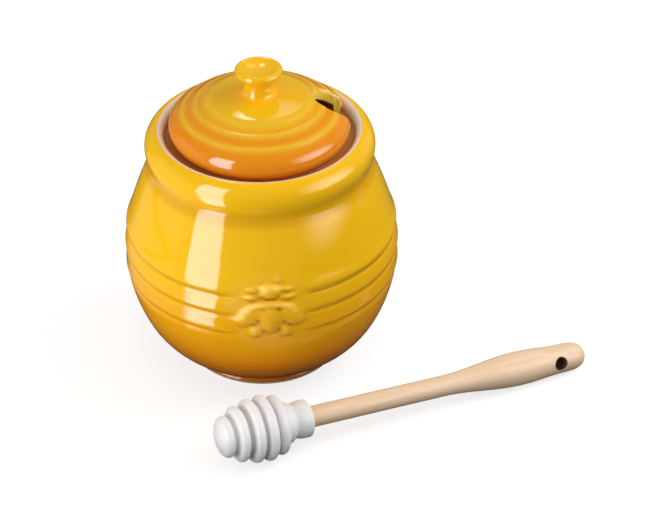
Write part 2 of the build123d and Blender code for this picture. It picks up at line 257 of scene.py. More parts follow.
def potOutline(shape):
    belly, under, base, bead = shape["belly"], shape["under"], shape["base"], shape["bead"]
    angle, shoulder = shape["baseAngle"], shape["shoulderAngle"]
    wall, coarse, fine = shape["wall"], shape["coarseStep"], shape["fineStep"]
    recess, footRound = shape["baseRecess"], shape["footRound"]
    footNeck = shape["foot"] - footRound
    footInner = footNeck - shape["footLand"]
    # outside, from the middle of the base up to the neck
    points = linePoints((0, recess), (footInner - shape["recessSlope"], recess), shape["flatStep"])
    points += linePoints(points[-1], (footInner, 0.0), shape["slopeStep"])[1:]
    points += linePoints(points[-1], (footNeck, 0.0), shape["landStep"])[1:]
    points += arcPoints((footNeck, footRound), footRound, -90, 90, shape["footStep"])[1:]
    startAngle = -math.degrees(math.acos((footNeck - base[0]) / shape["baseCurve"]))
    points += arcPoints(base, shape["baseCurve"], startAngle, -angle, coarse)
    low = -math.degrees(math.asin((under[1] - shape["fineFrom"]) / shape["underCurve"]))
    points += arcPoints(under, shape["underCurve"], -angle, low, coarse)[1:]
    points += arcPoints(under, shape["underCurve"], low, 0, fine)[1:]
    crownStart, crownCurve = shape["crownStart"], shape["crownCurve"]
    points += arcPoints(belly, shape["bellyCurve"], 0, crownStart, fine)[1:]
    # a gently crowned shoulder, and a soft fillet from it into the rolled rim
    crown = polar(points[-1], crownCurve, crownStart + 180)
    fillet, beadRadius = shape["neckFillet"], shape["beadRadius"]
    middle = meetCircles(crown, crownCurve + fillet, bead, beadRadius + fillet)
    crownEnd = wayTo(crown, middle)
    points += arcPoints(crown, crownCurve, crownStart, crownEnd, coarse)[1:]
    beadWay = wayTo(middle, bead)
    points += arcPoints(middle, fillet, crownEnd + 180, beadWay, shape["filletStep"])[1:]
    # rolled rim, bore, ledge and the inside down to the floor
    rimTurn, step = shape["rimTurn"], shape["roundStep"]
    points += arcPoints(bead, beadRadius, beadWay - 180, rimTurn, shape["beadStep"])[1:]
    points += arcPoints(shape["rimRound"], shape["rimRadius"], rimTurn, 180, shape["rimStep"])[1:]
    ledge, small, mouth = shape["ledgeHeight"], shape["ledgeRound"], shape["mouth"]
    points += arcPoints((shape["rimBore"] - small, ledge + small), small, 0, -90, step)
    points += arcPoints((mouth + small, ledge - small), small, 90, 180, step)
    below = ledge - shape["ledgeThickness"]
    points += arcPoints((mouth + small, below + small), small, 180, 270, step)
    # the ledge's underside curves back into the wall
    inner = polar(belly, shape["bellyCurve"] - wall, shoulder)
    slope = math.tan(math.radians(shoulder))
    blendHeight = below - shape["ledgeBlend"]
    blend = (inner[0] - (blendHeight - inner[1]) * slope, blendHeight)
    corner = (blend[0] - (below - blendHeight) * slope, below)
    points += bendPoints((mouth + small, below), corner, blend, shape["blendPoints"])[1:]
    inside = shape["insideStep"]
    points += linePoints(blend, inner, inside)[1:]
    points += arcPoints(belly, shape["bellyCurve"] - wall, shoulder, 0, inside)[1:]
    points += arcPoints(under, shape["underCurve"] - wall, 0, -angle, inside)[1:]
    floorCurve = shape["baseCurve"] - wall
    floorAngle = -math.degrees(math.asin((base[1] - shape["floor"]) / floorCurve))
    points += arcPoints(base, floorCurve, -angle, floorAngle, shape["floorBendStep"])[1:]
    points += linePoints(points[-1], (0, shape["floor"]), shape["flatStep"])[1:]
    return points


# the belly's relief, drawn on a grid: across is the distance round the belly from the bee's
# middle, height is as on the pot, and both are in millimetres
relief = {
    "turn": -85.2, "radius": 55.0, "half": 19.0, "low": 38.6, "high": 72.0, "step": 0.1,
    # the sector of dense mesh round the bee: half its angle, and its steps
    "reach": 20.0, "reachSteps": 176,
    # softening of the relief, and of what a crease is measured against; that is lifted up the skin,
    # so that the undersides of forms count as creases for painted shade and their tops as crests
    # for a painted highlight
    "soften": 0.24, "softWidths": 3, "around": 0.9, "shadeLift": 0.45,
    # the plain panel that the hoops run out into, and how far it is sunk between four heights
    "panelHalf": 15.0, "panelFade": 4.0, "sink": 0.36, "sinkHeights": (40.5, 46.0, 57.0, 66.0),
}
# each hoop flares down to a soft lip, then steps in over a groove; they fade out at the bottom
hoops = {
    # height of a groove, its depth, its reach below, rise of the lip over it, how far up
    # that lip is, and the level of the skin just below
    "grooves": ((60.275, 0.42, 1.2, 0.5, 2.5, -0.32), (51.375, 0.44, 1.2, 0.06, 2.5, -0.28),
                (42.475, 0.3, 3.0, 0.24, 1.8, 0.0)),
    "grooveOver": 1.15, "step": 0.8, "lipUnder": 1.1, "lipOver": 2.9,
    "fadeFrom": 42.0, "fadeTo": 39.3,
}
# the bee, drawn for one side and mirrored: how softly its parts meet, and how full their domes are
beeBlend = 0.12
beePower = 0.65
# its forms: middle (across, height), half length, half width, rise, lean in degrees
beeForms = {
    "head": (0.0, 63.35, 4.1, 3.3, 2.1, 0.0),
    "thorax": (0.0, 56.9, 3.9, 2.3, 1.6, 0.0),
    "abdomen": (0.0, 51.1, 7.4, 4.2, 2.0, 90.0),
    "wing": (8.2, 52.4, 6.6, 3.8, 1.45, -47.0),
    "foot": (5.9, 45.1, 3.2, 2.0, 1.75, -84.0),
}
# and its ridges: half width, rise, and the points of the middle line
beeRidges = {
    "wingRim": (1.35, 1.5, ((0.0, 58.0), (3.6, 57.4), (6.6, 56.3), (9.3, 54.2), (11.1, 51.4),
                            (11.6, 49.6))),
    "upperLeg": (1.05, 1.15, ((6.2, 63.8), (7.4, 63.9))),
    "lowerLeg": (1.2, 1.25, ((6.2, 60.8), (8.3, 60.6))),
    "feeler": (0.85, 1.0, ((3.5, 67.4), (3.6, 69.0))),
}


def smoothStep(value, low, high):
    part = np.clip((value - low) / (high - low), 0, 1)
    return part * part * (3 - 2 * part)


def softMax(first, second, width):
    # the greater of two heights, rounded where they cross
    overlap = np.maximum(width - abs(first - second), 0)
    return np.maximum(first, second) + overlap * overlap / (4 * width)


def formHeight(across, height, form):
    # a rounded cap, negative outside its outline
    middle, level, length, width, rise, lean = form
    turn = math.radians(lean)
    a = (across - middle) * math.cos(turn) + (height - level) * math.sin(turn)
    b = (height - level) * math.cos(turn) - (across - middle) * math.sin(turn)
    left = 1 - (a / length) ** 2 - (b / width) ** 2
    return rise * np.where(left > 0, np.maximum(left, 0) ** beePower, left)


def ridgeHeight(across, height, ridge):
    # a rounded ridge along a line of points, negative beyond its width
    half, rise, points = ridge
    nearest = np.full(across.shape, np.inf)
    for (ax, ay), (bx, by) in zip(points, points[1:]):
        wide, tall = bx - ax, by - ay
        share = ((across - ax) * wide + (height - ay) * tall) / (wide * wide + tall * tall)
        share = np.clip(share, 0, 1)
        apart = np.hypot(across - ax - wide * share, height - ay - tall * share)
        nearest = np.minimum(nearest, apart)
    return rise * (1 - (nearest / half) ** 2)


def hoopHeight(height):
    total, level = 0.0, 0.0
    for groove, depth, reachUnder, lip, lipAbove, under in hoops["grooves"]:
        up = height - groove
        cut = up / np.where(up > 0, hoops["grooveOver"], reachUnder)
        total = total - depth * np.exp(-cut * cut)
        beyond = up - lipAbove
        reach = np.where(beyond > 0, hoops["lipOver"], hoops["lipUnder"])
        total += (lip - level) * np.exp(-(beyond / reach) ** 2)
        total += (under - level) * (1 - smoothStep(up, -hoops["step"], hoops["step"]))
        level = under
    return total * smoothStep(height, hoops["fadeTo"], hoops["fadeFrom"])


def soften(field, width, step):
    # evens a grid out by a bell of the given width
    reach = math.ceil(relief["softWidths"] * width / step)
    weights = np.exp(-0.5 * (np.arange(-reach, reach + 1) * step / width) ** 2)
    weights /= weights.sum()
    for axis in (0, 1):
        field = np.apply_along_axis(
            lambda line: np.convolve(np.pad(line, reach, "edge"), weights, "valid"), axis, field)
    return field


def reliefFields():
    # the rise of the skin, and how far each spot lies below what is around and above it, a mask for
    # painted shade under the forms and a painted highlight on their tops
    step = relief["step"]
    columns = np.arange(-relief["half"], relief["half"] + step, step)
    rows = np.arange(relief["low"], relief["high"] + step, step)
    across, height = np.meshgrid(columns, rows, indexing="ij")
    side = abs(across)
    panel = smoothStep(side, relief["panelHalf"] - relief["panelFade"],
                       relief["panelHalf"] + relief["panelFade"])
    figure = np.zeros(across.shape)
    for form in beeForms.values():
        figure = softMax(figure, formHeight(side, height, form), beeBlend)
    for ridge in beeRidges.values():
        figure = softMax(figure, ridgeHeight(side, height, ridge), beeBlend)
    low, deep, shallow, high = relief["sinkHeights"]
    sink = relief["sink"] * smoothStep(height, low, deep) * (1 - smoothStep(height, shallow, high))
    plain = panel * hoopHeight(height) - (1 - panel) * sink
    rise = soften(plain + figure, relief["soften"], step)
    around = soften(rise, relief["around"], step)
    # the crease is measured against the relief a little higher up, so that the undersides of forms
    # take painted shade
    lift = round(relief["shadeLift"] / step)
    above = np.pad(around[:, lift:], ((0, 0), (0, lift)), "edge")
    return rise, above - rise


def sampleField(field, across, height):
    # reads a grid at any spots; those outside it take its edge
    step, lastCell = relief["step"], 1.001
    u = np.clip((across + relief["half"]) / step, 0, field.shape[0] - lastCell)
    v = np.clip((height - relief["low"]) / step, 0, field.shape[1] - lastCell)
    i, j = u.astype(int), v.astype(int)
    u, v = u - i, v - j
    return ((field[i, j] * (1 - u) + field[i + 1, j] * u) * (1 - v)
            + (field[i, j + 1] * (1 - u) + field[i + 1, j + 1] * u) * v)


def readVertices(mesh, what):
    values = np.empty(len(mesh.vertices) * 3)
    mesh.vertices.foreach_get(what, values)
    return values.reshape(-1, 3)


def pressRelief(piece):
    # moves the belly's skin out and in, and keeps its creases as an attribute for the glaze: pooled
    # glaze with painted shade under the forms, and a painted highlight on their tops
    mesh = piece.data
    places, normals = readVertices(mesh, "co") / mm, readVertices(mesh, "normal")
    x, y, z = places.T
    skin = np.hypot(x, y) > potShape["belly"][0] + potShape["bellyCurve"] - potShape["wall"]
    skin &= (normals[:, 0] * x + normals[:, 1] * y > 0) & (z > relief["low"]) & (z < relief["high"])
    turn = (np.degrees(np.arctan2(y, x)) - relief["turn"] + 180) % 360 - 180
    across = np.radians(turn) * relief["radius"]
    rise, hollow = reliefFields()
    places += normals * (np.where(skin, sampleField(rise, across, z), 0))[:, None]
    mesh.vertices.foreach_set("co", (places * mm).ravel())
    creasesAndShade = np.where(skin, sampleField(hollow, across, z), 0)
    mesh.attributes.new("hollow", "FLOAT", "POINT").data.foreach_set("value", creasesAndShade)
    mesh.update()


def makePot():
    dense = 2 * relief["reach"]
    piece = lathe("potSkin", potOutline(potShape), relief["turn"] - relief["reach"],
                  [(dense, relief["reachSteps"]), (360 - dense, potShape["backSteps"])])
    pressRelief(piece)
    return piece


potSkin = makePot()
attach(potSkin, "pot")
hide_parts("pot_body")
print("pot skin:", len(potSkin.data.polygons), "faces")


# the lid: knob, ringed dome, round edge, the flange under it, and the dipper's slot (millimetres)
lidShape = {
    "knobFoot": 7.0, "cove": (5.85, 120.0), "waist": (5.7, 124.385), "flare": (5.7, 125.06),
    "lip": (7.8, 129.285), "lipRound": 1.5, "lipEnd": -45.0, "dish": 1.7,
    "dome": (0.0, 61.685), "domeCurve": 58.7, "thickness": 4.5, "innerEdge": 31.8,
    "edge": (30.05, 105.585), "edgeRound": 5.5, "edgeUnder": -45.0, "seat": (32.3, 99.885),
    "flange": 30.4, "flangeInner": 25.9, "flangeEnd": 94.385, "flangeRound": 0.6, "flangeInto": 1.0,
    "rings": (20.35, 25.05, 30.15), "ringRise": 0.33, "ringHalf": 0.85,
    # inside the first ring the skin runs from flatLow in the middle to flatHigh at flat
    "flat": 18.4, "flatLow": -0.35, "flatHigh": 0.72, "flatEnd": 21.0,
    # spacing of the outline's points, fine where the rings lie
    "coarseStep": 1.0, "fineStep": 0.35, "fineFrom": 17.0, "roundStep": 0.3, "insideStep": 2.0,
    "flarePoints": 8, "footPoints": 10, "flangeSteps": 144, "smoothAngle": 40.0,
}
slotShape = {
    "turn": 10.9, "middle": 28.55, "half": 7.5, "flangeHalf": 13.0, "low": 90.0, "high": 125.0,
    # the lip's rounding, how steeply the skin dives inside it, and which skin it takes
    "lip": 1.3, "dive": 1.5, "skinDepth": 2.0, "skinUnder": 0.6,
    "sector": 48.0, "steps": 84, "otherSteps": 132, "roundSteps": 64,
}


def lidRise(radius, shape):
    # the dome is flatter inside its first ring, and carries three soft rings
    low, high, flat = shape["flatLow"], shape["flatHigh"], shape["flat"]
    if radius < flat:
        rise = low + (high - low) * (radius / flat) ** 2
    else:
        rise = high * (1 - smoothStep(radius, flat, shape["flatEnd"]))
    for ring in shape["rings"]:
        rise += shape["ringRise"] * math.exp(-((radius - ring) / shape["ringHalf"]) ** 2)
    return rise


def onLid(spot, shape):
    # a point of the plain dome, raised to the real skin
    dome, curve = shape["dome"], shape["domeCurve"]
    rise = lidRise(spot[0], shape)
    out, up = (spot[0] - dome[0]) / curve, (spot[1] - dome[1]) / curve
    return (spot[0] + out * rise, spot[1] + up * rise)


def lidOutline(shape):
    # shell of the lid: the outside from the middle of the knob down, then the inside back up
    coarse, fine, inside = shape["coarseStep"], shape["fineStep"], shape["insideStep"]
    dome, curve, edge = shape["dome"], shape["domeCurve"], shape["edge"]
    lip, small = shape["lip"], shape["lipRound"]
    crest = (lip[0], lip[1] + small)
    dishCurve = (crest[0] ** 2 + shape["dish"] ** 2) / (2 * shape["dish"])
    dishHalf = math.degrees(math.asin(crest[0] / dishCurve))
    dish = (0.0, crest[1] - shape["dish"] + dishCurve)
    points = arcPoints(dish, dishCurve, -90, -90 + dishHalf, coarse)
    points += arcPoints(lip, small, 90, shape["lipEnd"], shape["roundStep"])[1:]
    points += bendPoints(points[-1], shape["flare"], shape["waist"], shape["flarePoints"])[1:]
    footWay = math.degrees(math.acos(shape["knobFoot"] / curve))
    foot = onLid(polar(dome, curve, footWay), shape)
    points += bendPoints(shape["waist"], shape["cove"], foot, shape["footPoints"])[1:]
    meet = wayTo(dome, edge)
    start = math.degrees(math.acos(shape["fineFrom"] / curve))
    skin = arcPoints(dome, curve, footWay, start, coarse)[1:]
    skin += arcPoints(dome, curve, start, meet, fine)[1:]
    points += [onLid(spot, shape) for spot in skin]
    points += arcPoints(edge, shape["edgeRound"], meet, shape["edgeUnder"], fine)[1:]
    seat, inner = shape["seat"], curve - shape["thickness"]
    points += linePoints(points[-1], seat, coarse)[1:]
    corner = (shape["innerEdge"], seat[1])
    innerWay = math.degrees(math.acos(corner[0] / inner))
    points += linePoints(seat, corner, coarse)[1:]
    points += linePoints(corner, polar(dome, inner, innerWay), coarse)[1:]
    points += arcPoints(dome, inner, innerWay, 90, inside)[1:]
    return points


def flangeOutline(shape):
    # the seat and the flange that centres the lid, a closed loop
    top = polar(shape["edge"], shape["edgeRound"], shape["edgeUnder"])
    seat, outer, inner = shape["seat"], shape["flange"], shape["flangeInner"]
    low, small, into = shape["flangeEnd"], shape["flangeRound"], top[1] + shape["flangeInto"]
    return [top, seat, (outer, seat[1]), (outer, low + small), (outer - small, low),
            (inner + small, low), (inner, low + small), (inner, into), (outer, into), top]


def slotDistance(places):
    # distance outside the slot's outline in plan, negative within it
    turn = math.radians(slotShape["turn"])
    along = places[:, 0] * math.cos(turn) + places[:, 1] * math.sin(turn)
    across = places[:, 1] * math.cos(turn) - places[:, 0] * math.sin(turn)
    short = np.minimum(along - slotShape["middle"], 0)
    return np.where(along > 0, np.hypot(short, across) - slotShape["half"], slotShape["high"])


def pressSlotLip(piece):
    # rounds the skin down towards the slot, so that the cut leaves a soft lip
    mesh, lip = piece.data, slotShape["lip"]
    places, normals = readVertices(mesh, "co") / mm, readVertices(mesh, "normal")
    x, y, z = places.T
    radius = np.hypot(x, y)
    deep, under = slotShape["skinDepth"], slotShape["skinUnder"]
    skin = np.hypot(radius, z - lidShape["dome"][1]) > lidShape["domeCurve"] - deep
    skin |= radius > lidShape["edge"][0] + deep
    skin &= z > lidShape["edge"][1] - lidShape["edgeRound"] * under
    distance = slotDistance(places)
    into = np.clip(lip - distance, 0, lip)
    depth = lip - np.sqrt(lip * lip - into * into)
    depth += np.clip(-distance, 0, 1) * slotShape["dive"]
    places -= normals * np.where(skin, depth, 0)[:, None]
    mesh.vertices.foreach_set("co", (places * mm).ravel())
    mesh.update()


def slotCutter(name, half):
    # a prism with one round end, set on the slot
    clearSelection()
    middle, reach = slotShape["middle"], slotShape["middle"] * 2
    bpy.ops.mesh.primitive_circle_add(vertices=slotShape["roundSteps"], radius=half * mm,
                                      fill_type="NGON", location=(0, 0, slotShape["low"] * mm))
    cutter = bpy.context.object
    cutter.name = name
    bpy.ops.object.transform_apply(location=True, rotation=True, scale=True)
    for vertex in cutter.data.vertices:
        vertex.co.x += (reach if vertex.co.x > -weldGap else middle) * mm
    bpy.ops.object.mode_set(mode="EDIT")
    bpy.ops.mesh.select_all(action="SELECT")
    tall = (slotShape["high"] - slotShape["low"]) * mm
    bpy.ops.mesh.extrude_region_move(TRANSFORM_OT_translate={"value": (0, 0, tall)})
    bpy.ops.mesh.select_all(action="SELECT")
    bpy.ops.mesh.normals_make_consistent(inside=False)
    bpy.ops.object.mode_set(mode="OBJECT")
    cutter.rotation_euler.z = math.radians(slotShape["turn"])
    bpy.ops.object.transform_apply(location=True, rotation=True, scale=True)
    return cutter


def combine(piece, other, operation):
    clearSelection()
    bpy.context.view_layer.objects.active = piece
    piece.select_set(True)
    change = piece.modifiers.new("combine", "BOOLEAN")
    change.operation, change.solver, change.object = operation, "EXACT", other
    bpy.ops.object.modifier_apply(modifier=change.name)
    bpy.data.objects.remove(other, do_unlink=True)


def makeLid():
    sectors = [(slotShape["sector"], slotShape["steps"]),
               (360 - slotShape["sector"], slotShape["otherSteps"])]
    start = slotShape["turn"] - slotShape["sector"] / 2
    piece = lathe("lidSkin", lidOutline(lidShape), start, sectors)
    pressSlotLip(piece)
    combine(piece, slotCutter("slotCutter", slotShape["half"]), "DIFFERENCE")
    flange = lathe("lidFlange", flangeOutline(lidShape), start, [(360, lidShape["flangeSteps"])])
    combine(flange, slotCutter("flangeCutter", slotShape["flangeHalf"]), "DIFFERENCE")
    combine(piece, flange, "UNION")
    clearSelection()
    piece.select_set(True)
    bpy.context.view_layer.objects.active = piece
    bpy.ops.object.shade_smooth_by_angle(angle=math.radians(lidShape["smoothAngle"]))
    return piece


lidSkin = makeLid()
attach(lidSkin, "lid")
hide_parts("lid")
print("lid skin:", len(lidSkin.data.polygons), "faces")


# glazes
glazeColours = {
    "yellow": colour(252, 194, 20),
    "pale": colour(252, 208, 78),
    "amber": colour(248, 172, 16),
    "orange": colour(246, 160, 14),
    "deep": colour(236, 140, 4),
    "brown": colour(206, 118, 8),
    # a dark orange for pooled glaze, also used as painted shade in the neck crease and under the
    # forms
    "groove": colour(170, 98, 0),
    "cream": colour(244, 228, 204),
    "bore": colour(196, 132, 72),
    "bisque": colour(222, 205, 178),
    "lidGold": colour(242, 188, 22),
    "lidCrest": colour(242, 190, 30),
    "lidOrange": colour(240, 150, 16),
    "lidEdge": colour(238, 142, 16),
    "slotLip": colour(246, 190, 60),
    "slotWallLit": colour(255, 218, 80),
    "lidInsideShade": colour(150, 98, 34),
}
glazeSheen = {"scale": 90.0, "detail": 2.0, "spread": 0.03, "least": 0.06}
potGlaze = {
    "shine": {"Specular IOR Level": 0.36, "IOR": 1.5},
    # the yellow turns orange and brown between two heights, over a wavering line
    "fall": (62.0, 8.0), "waverScale": 60.0, "waver": 5.0,
    "stops": ((0.0, "yellow"), (0.49, "amber"), (0.63, "orange"), (0.75, "deep"), (1.0, "brown")),
    # painted shade in the neck crease, between two pairs of heights
    "neckFrom": (84.5, 88.5), "neckTo": (90.5, 94.0), "neckShade": 0.3,
    # glaze pools in creases and runs thin on crests; with creases measured from above, this is also
    # painted shade under the forms and a painted highlight on their tops
    "pooledAndShaded": (0.05, 0.5), "poolShade": 0.85, "thinAndLit": (-0.05, -0.45), "thinAndLitShare": 0.5,
    "crest": (-0.05, -0.4), "crestRough": 0.15,
    # cream on the rim's inner side, painted shade in brownish amber on the bore below it, bare clay
    # under the foot
    "creamEdge": (39.8, 40.4), "creamWaver": 0.06, "creamFrom": (98.0, 99.0),
    "boreTo": (99.9, 101.2), "clayTo": (1.0, 1.8),
    # softer glaze over the bee: middle height, half width, half height, fading and roughness
    "beeHeight": 56.0, "beeAcross": 19.5, "beeUp": 17.5, "beeFade": (0.0, 0.4),
    "beeFront": (0.0, 5.0), "beeRough": 0.2,
    "peelScale": 220.0, "peelDepth": 0.0004, "peel": 0.08,
}
lidGlaze = {
    "shine": {"Specular IOR Level": 0.48, "IOR": 1.5},
    "waverScale": 70.0, "waver": 2.0, "span": 36.0,
    "stops": ((0.0, "yellow"), (0.19, "yellow"), (0.25, "lidGold"), (0.55, "lidGold"),
              (0.70, "lidOrange"), (1.0, "lidEdge")),
    "knobFrom": (121.6, 122.4), "crestHalf": 1.25, "crestTint": 0.85, "crestRough": 0.2,
    # the slot's lip and wall by distance outside it, on the half of the lid that carries it
    "slotLip": (1.9, 0.5), "slotTint": 0.85, "slotWallLit": (0.35, 0.05), "slotSide": (0.0, 4.0),
    # painted shade on the inside, by depth under the dome's skin, within the edge
    "insideDepth": (3.9, 4.5), "insideEdge": (31.3, 32.0),
}


def glazeRoughness(shop, place):
    sheen = shop.noise(place, glazeSheen["scale"], glazeSheen["detail"])
    return sheen * glazeSheen["spread"] + glazeSheen["least"]


def glazeStops(stops):
    return {"stops": [(place, glazeColours[name]) for place, name in stops]}


def turnedPlan(x, y, degrees):
    # distance along and across a direction in plan, in millimetres
    turn = math.radians(degrees)
    along = (x * math.cos(turn) + y * math.sin(turn)) * perMetre
    across = (y * math.cos(turn) - x * math.sin(turn)) * perMetre
    return along, across


def makePotGlaze(glaze):
    material, shop = newMaterial("potGlaze")
    place = shop.node("ShaderNodeTexCoord", {}, {}, "Object")
    x, y, z = shop.xyz(place)
    height = z * perMetre
    radius = (x * x + y * y) ** 0.5 * perMetre
    waver = (shop.noise(place, glaze["waverScale"], 1.0) - 0.5) * glaze["waver"]
    hollow = shop.attribute("hollow")
    high, low = glaze["fall"]
    fall = shop.node("ShaderNodeMapRange", {}, {0: height + waver, 1: high, 2: low, 3: 0.0, 4: 1.0})
    body = shop.node("ShaderNodeValToRGB", glazeStops(glaze["stops"]), {0: fall})
    # painted shade in the crease under the rolled rim
    neckCreaseShade = height.between(*glaze["neckFrom"]) * (1 - height.between(*glaze["neckTo"]))
    neckShaded = shop.blend(neckCreaseShade * glaze["neckShade"], body, glazeColours["groove"])
    # partly pooled glaze, partly painted shade under the bee's forms and the hoops' lips
    poolAndShade = hollow.between(*glaze["pooledAndShaded"]) * glaze["poolShade"]
    pooledAndShaded = shop.blend(poolAndShade, neckShaded, glazeColours["groove"])
    # partly thin glaze, partly a painted highlight on the tops of the forms
    thinAndLit = hollow.between(*glaze["thinAndLit"]) * glaze["thinAndLitShare"]
    thinnedAndLit = shop.blend(thinAndLit, pooledAndShaded, glazeColours["pale"])
    edge = (radius + waver * glaze["creamWaver"]).between(*glaze["creamEdge"])
    inside = (1 - edge) * height.between(*glaze["creamFrom"])
    rimmed = shop.blend(inside, thinnedAndLit, glazeColours["cream"])
    # painted shade on the bore wall below the cream
    bore = inside * (1 - height.between(*glaze["boreTo"]))
    shaded = shop.blend(bore, rimmed, glazeColours["bore"])
    base = shop.blend(1 - height.between(*glaze["clayTo"]), shaded, glazeColours["bisque"])
    _, across = turnedPlan(x, y, relief["turn"])
    aside, up = across / glaze["beeAcross"], (height - glaze["beeHeight"]) / glaze["beeUp"]
    bee = (1 - aside * aside - up * up).between(*glaze["beeFade"])
    bee = bee * (y * -perMetre).between(*glaze["beeFront"])
    crests = hollow.between(*glaze["crest"])
    rough = glazeRoughness(shop, place) + crests * glaze["crestRough"] + bee * glaze["beeRough"]
    peel = shop.noise(place, glaze["peelScale"], 1.0)
    finishMaterial(shop, glaze["shine"], {
        "Base Color": base, "Roughness": rough,
        "Normal": shop.bump(peel, glaze["peelDepth"], glaze["peel"])})
    return material


def makeLidGlaze(glaze):
    material, shop = newMaterial("lidGlaze")
    place = shop.node("ShaderNodeTexCoord", {}, {}, "Object")
    x, y, z = shop.xyz(place)
    radius = (x * x + y * y) ** 0.5 * perMetre
    height = z * perMetre
    waver = (shop.noise(place, glaze["waverScale"], 1.0) - 0.5) * glaze["waver"]
    body = shop.node("ShaderNodeValToRGB", glazeStops(glaze["stops"]),
                     {0: (radius + waver) / glaze["span"]})
    knob = shop.blend(height.between(*glaze["knobFrom"]), body, glazeColours["yellow"])
    crest = 0.0
    for ring in lidShape["rings"]:
        off = (radius - ring) / glaze["crestHalf"]
        crest = shop.sum("POWER", math.e, off * off * -1) + crest
    ringed = shop.blend(crest * glaze["crestTint"], knob, glazeColours["lidCrest"])
    # a paler band along the slot's lip, the slot's walls in a brighter gold as painted light, and
    # painted shade on the inside
    along, across = turnedPlan(x, y, slotShape["turn"])
    short = shop.sum("MINIMUM", along - slotShape["middle"], 0.0)
    beside = (short * short + across * across) ** 0.5 - slotShape["half"]
    side = along.between(*glaze["slotSide"])
    lip = beside.between(*glaze["slotLip"]) * side
    lipped = shop.blend(lip * glaze["slotTint"], ringed, glazeColours["slotLip"])
    # painted light: the slot's walls are coloured brighter than the glaze
    wall = beside.between(*glaze["slotWallLit"]) * side
    walledLit = shop.blend(wall, lipped, glazeColours["slotWallLit"])
    rise = height - lidShape["dome"][1]
    depth = lidShape["domeCurve"] - (radius * radius + rise * rise) ** 0.5
    # painted shade: the lid's inside is coloured dark brown
    inside = depth.between(*glaze["insideDepth"]) * (1 - radius.between(*glaze["insideEdge"]))
    done = shop.blend(inside, walledLit, glazeColours["lidInsideShade"])
    rough = glazeRoughness(shop, place) + crest * glaze["crestRough"]
    finishMaterial(shop, glaze["shine"], {"Base Color": done, "Roughness": rough})
    return material


# the handle's wood; its direction, and the cord hole through it, are in degrees and millimetres
beech = {
    "turn": 23.75, "stretch": 0.07,
    "light": colour(240, 210, 176), "dark": colour(232, 199, 164), "pore": colour(214, 176, 136),
    "grainScale": 45.0, "grainDetail": 3.0, "grainRough": 0.6, "grainRange": (0.3, 0.7),
    "poreScale": 160.0, "poreDetail": 2.0, "poreRange": (0.58, 0.75), "poreTint": 0.22,
    "holeMiddle": (119.057, -22.598, 6.2), "holeWay": (0.398094, -0.863887, 0.308579),
    "holeEdge": (2.75, 3.1), "holeDark": colour(84, 40, 14), "holeDarkTint": 0.95,
    "roughLeast": 0.5, "roughSpread": 0.1, "bumpDepth": 0.0002, "bump": 0.15,
}


def makeBeech(wood):
    material, shop = newMaterial("beech")
    place = shop.node("ShaderNodeTexCoord", {}, {}, "Object")
    # grain: noise drawn out along the handle
    turned = shop.node("ShaderNodeMapping", {"vector_type": "TEXTURE"},
                       {"Vector": place, "Rotation": (0, 0, math.radians(wood["turn"])),
                        "Scale": (1.0, wood["stretch"], wood["stretch"])})
    grain = shop.noise(turned, wood["grainScale"], wood["grainDetail"], wood["grainRough"])
    pores = shop.noise(turned, wood["poreScale"], wood["poreDetail"], wood["grainRough"])
    plain = shop.blend(grain.between(*wood["grainRange"]), wood["light"], wood["dark"])
    pored = shop.blend(pores.between(*wood["poreRange"]) * wood["poreTint"], plain, wood["pore"])
    # the drilled hole is coloured dark brown
    offset = shop.node("ShaderNodeVectorMath", {"operation": "SUBTRACT"},
                       {0: place, 1: [value * mm for value in wood["holeMiddle"]]})
    cross = shop.node("ShaderNodeVectorMath", {"operation": "CROSS_PRODUCT"},
                      {0: offset, 1: wood["holeWay"]})
    apart = shop.node("ShaderNodeVectorMath", {"operation": "LENGTH"}, {0: cross}, "Value")
    hole = 1 - (apart * perMetre).between(*wood["holeEdge"])
    done = shop.blend(hole * wood["holeDarkTint"], pored, wood["holeDark"])
    finishMaterial(shop, {}, {
        "Base Color": done, "Roughness": grain * wood["roughSpread"] + wood["roughLeast"],
        "Normal": shop.bump(grain, wood["bumpDepth"], wood["bump"])})
    return material


silicone = {
    "light": colour(240, 240, 240), "dark": colour(234, 234, 234),
    "cloudScale": 80.0, "cloudDetail": 2.0, "roughLeast": 0.5, "roughSpread": 0.08,
    "glow": {"Subsurface Weight": 0.4, "Subsurface Radius": (1.0, 1.0, 1.0),
             "Subsurface Scale": 0.004},
}


def makeSilicone(rubber):
    material, shop = newMaterial("softSilicone")
    place = shop.node("ShaderNodeTexCoord", {}, {}, "Object")
    cloud = shop.noise(place, rubber["cloudScale"], rubber["cloudDetail"])
    tone = shop.blend(cloud, rubber["light"], rubber["dark"])
    finishMaterial(shop, rubber["glow"], {
        "Base Color": tone, "Roughness": cloud * rubber["roughSpread"] + rubber["roughLeast"]})
    return material


dress(potSkin, makePotGlaze(potGlaze))
dress(lidSkin, makeLidGlaze(lidGlaze))
dress(nodes["dipper_handle"], makeBeech(beech))
dress(nodes["dipper_head"], makeSilicone(silicone))
print("materials on")


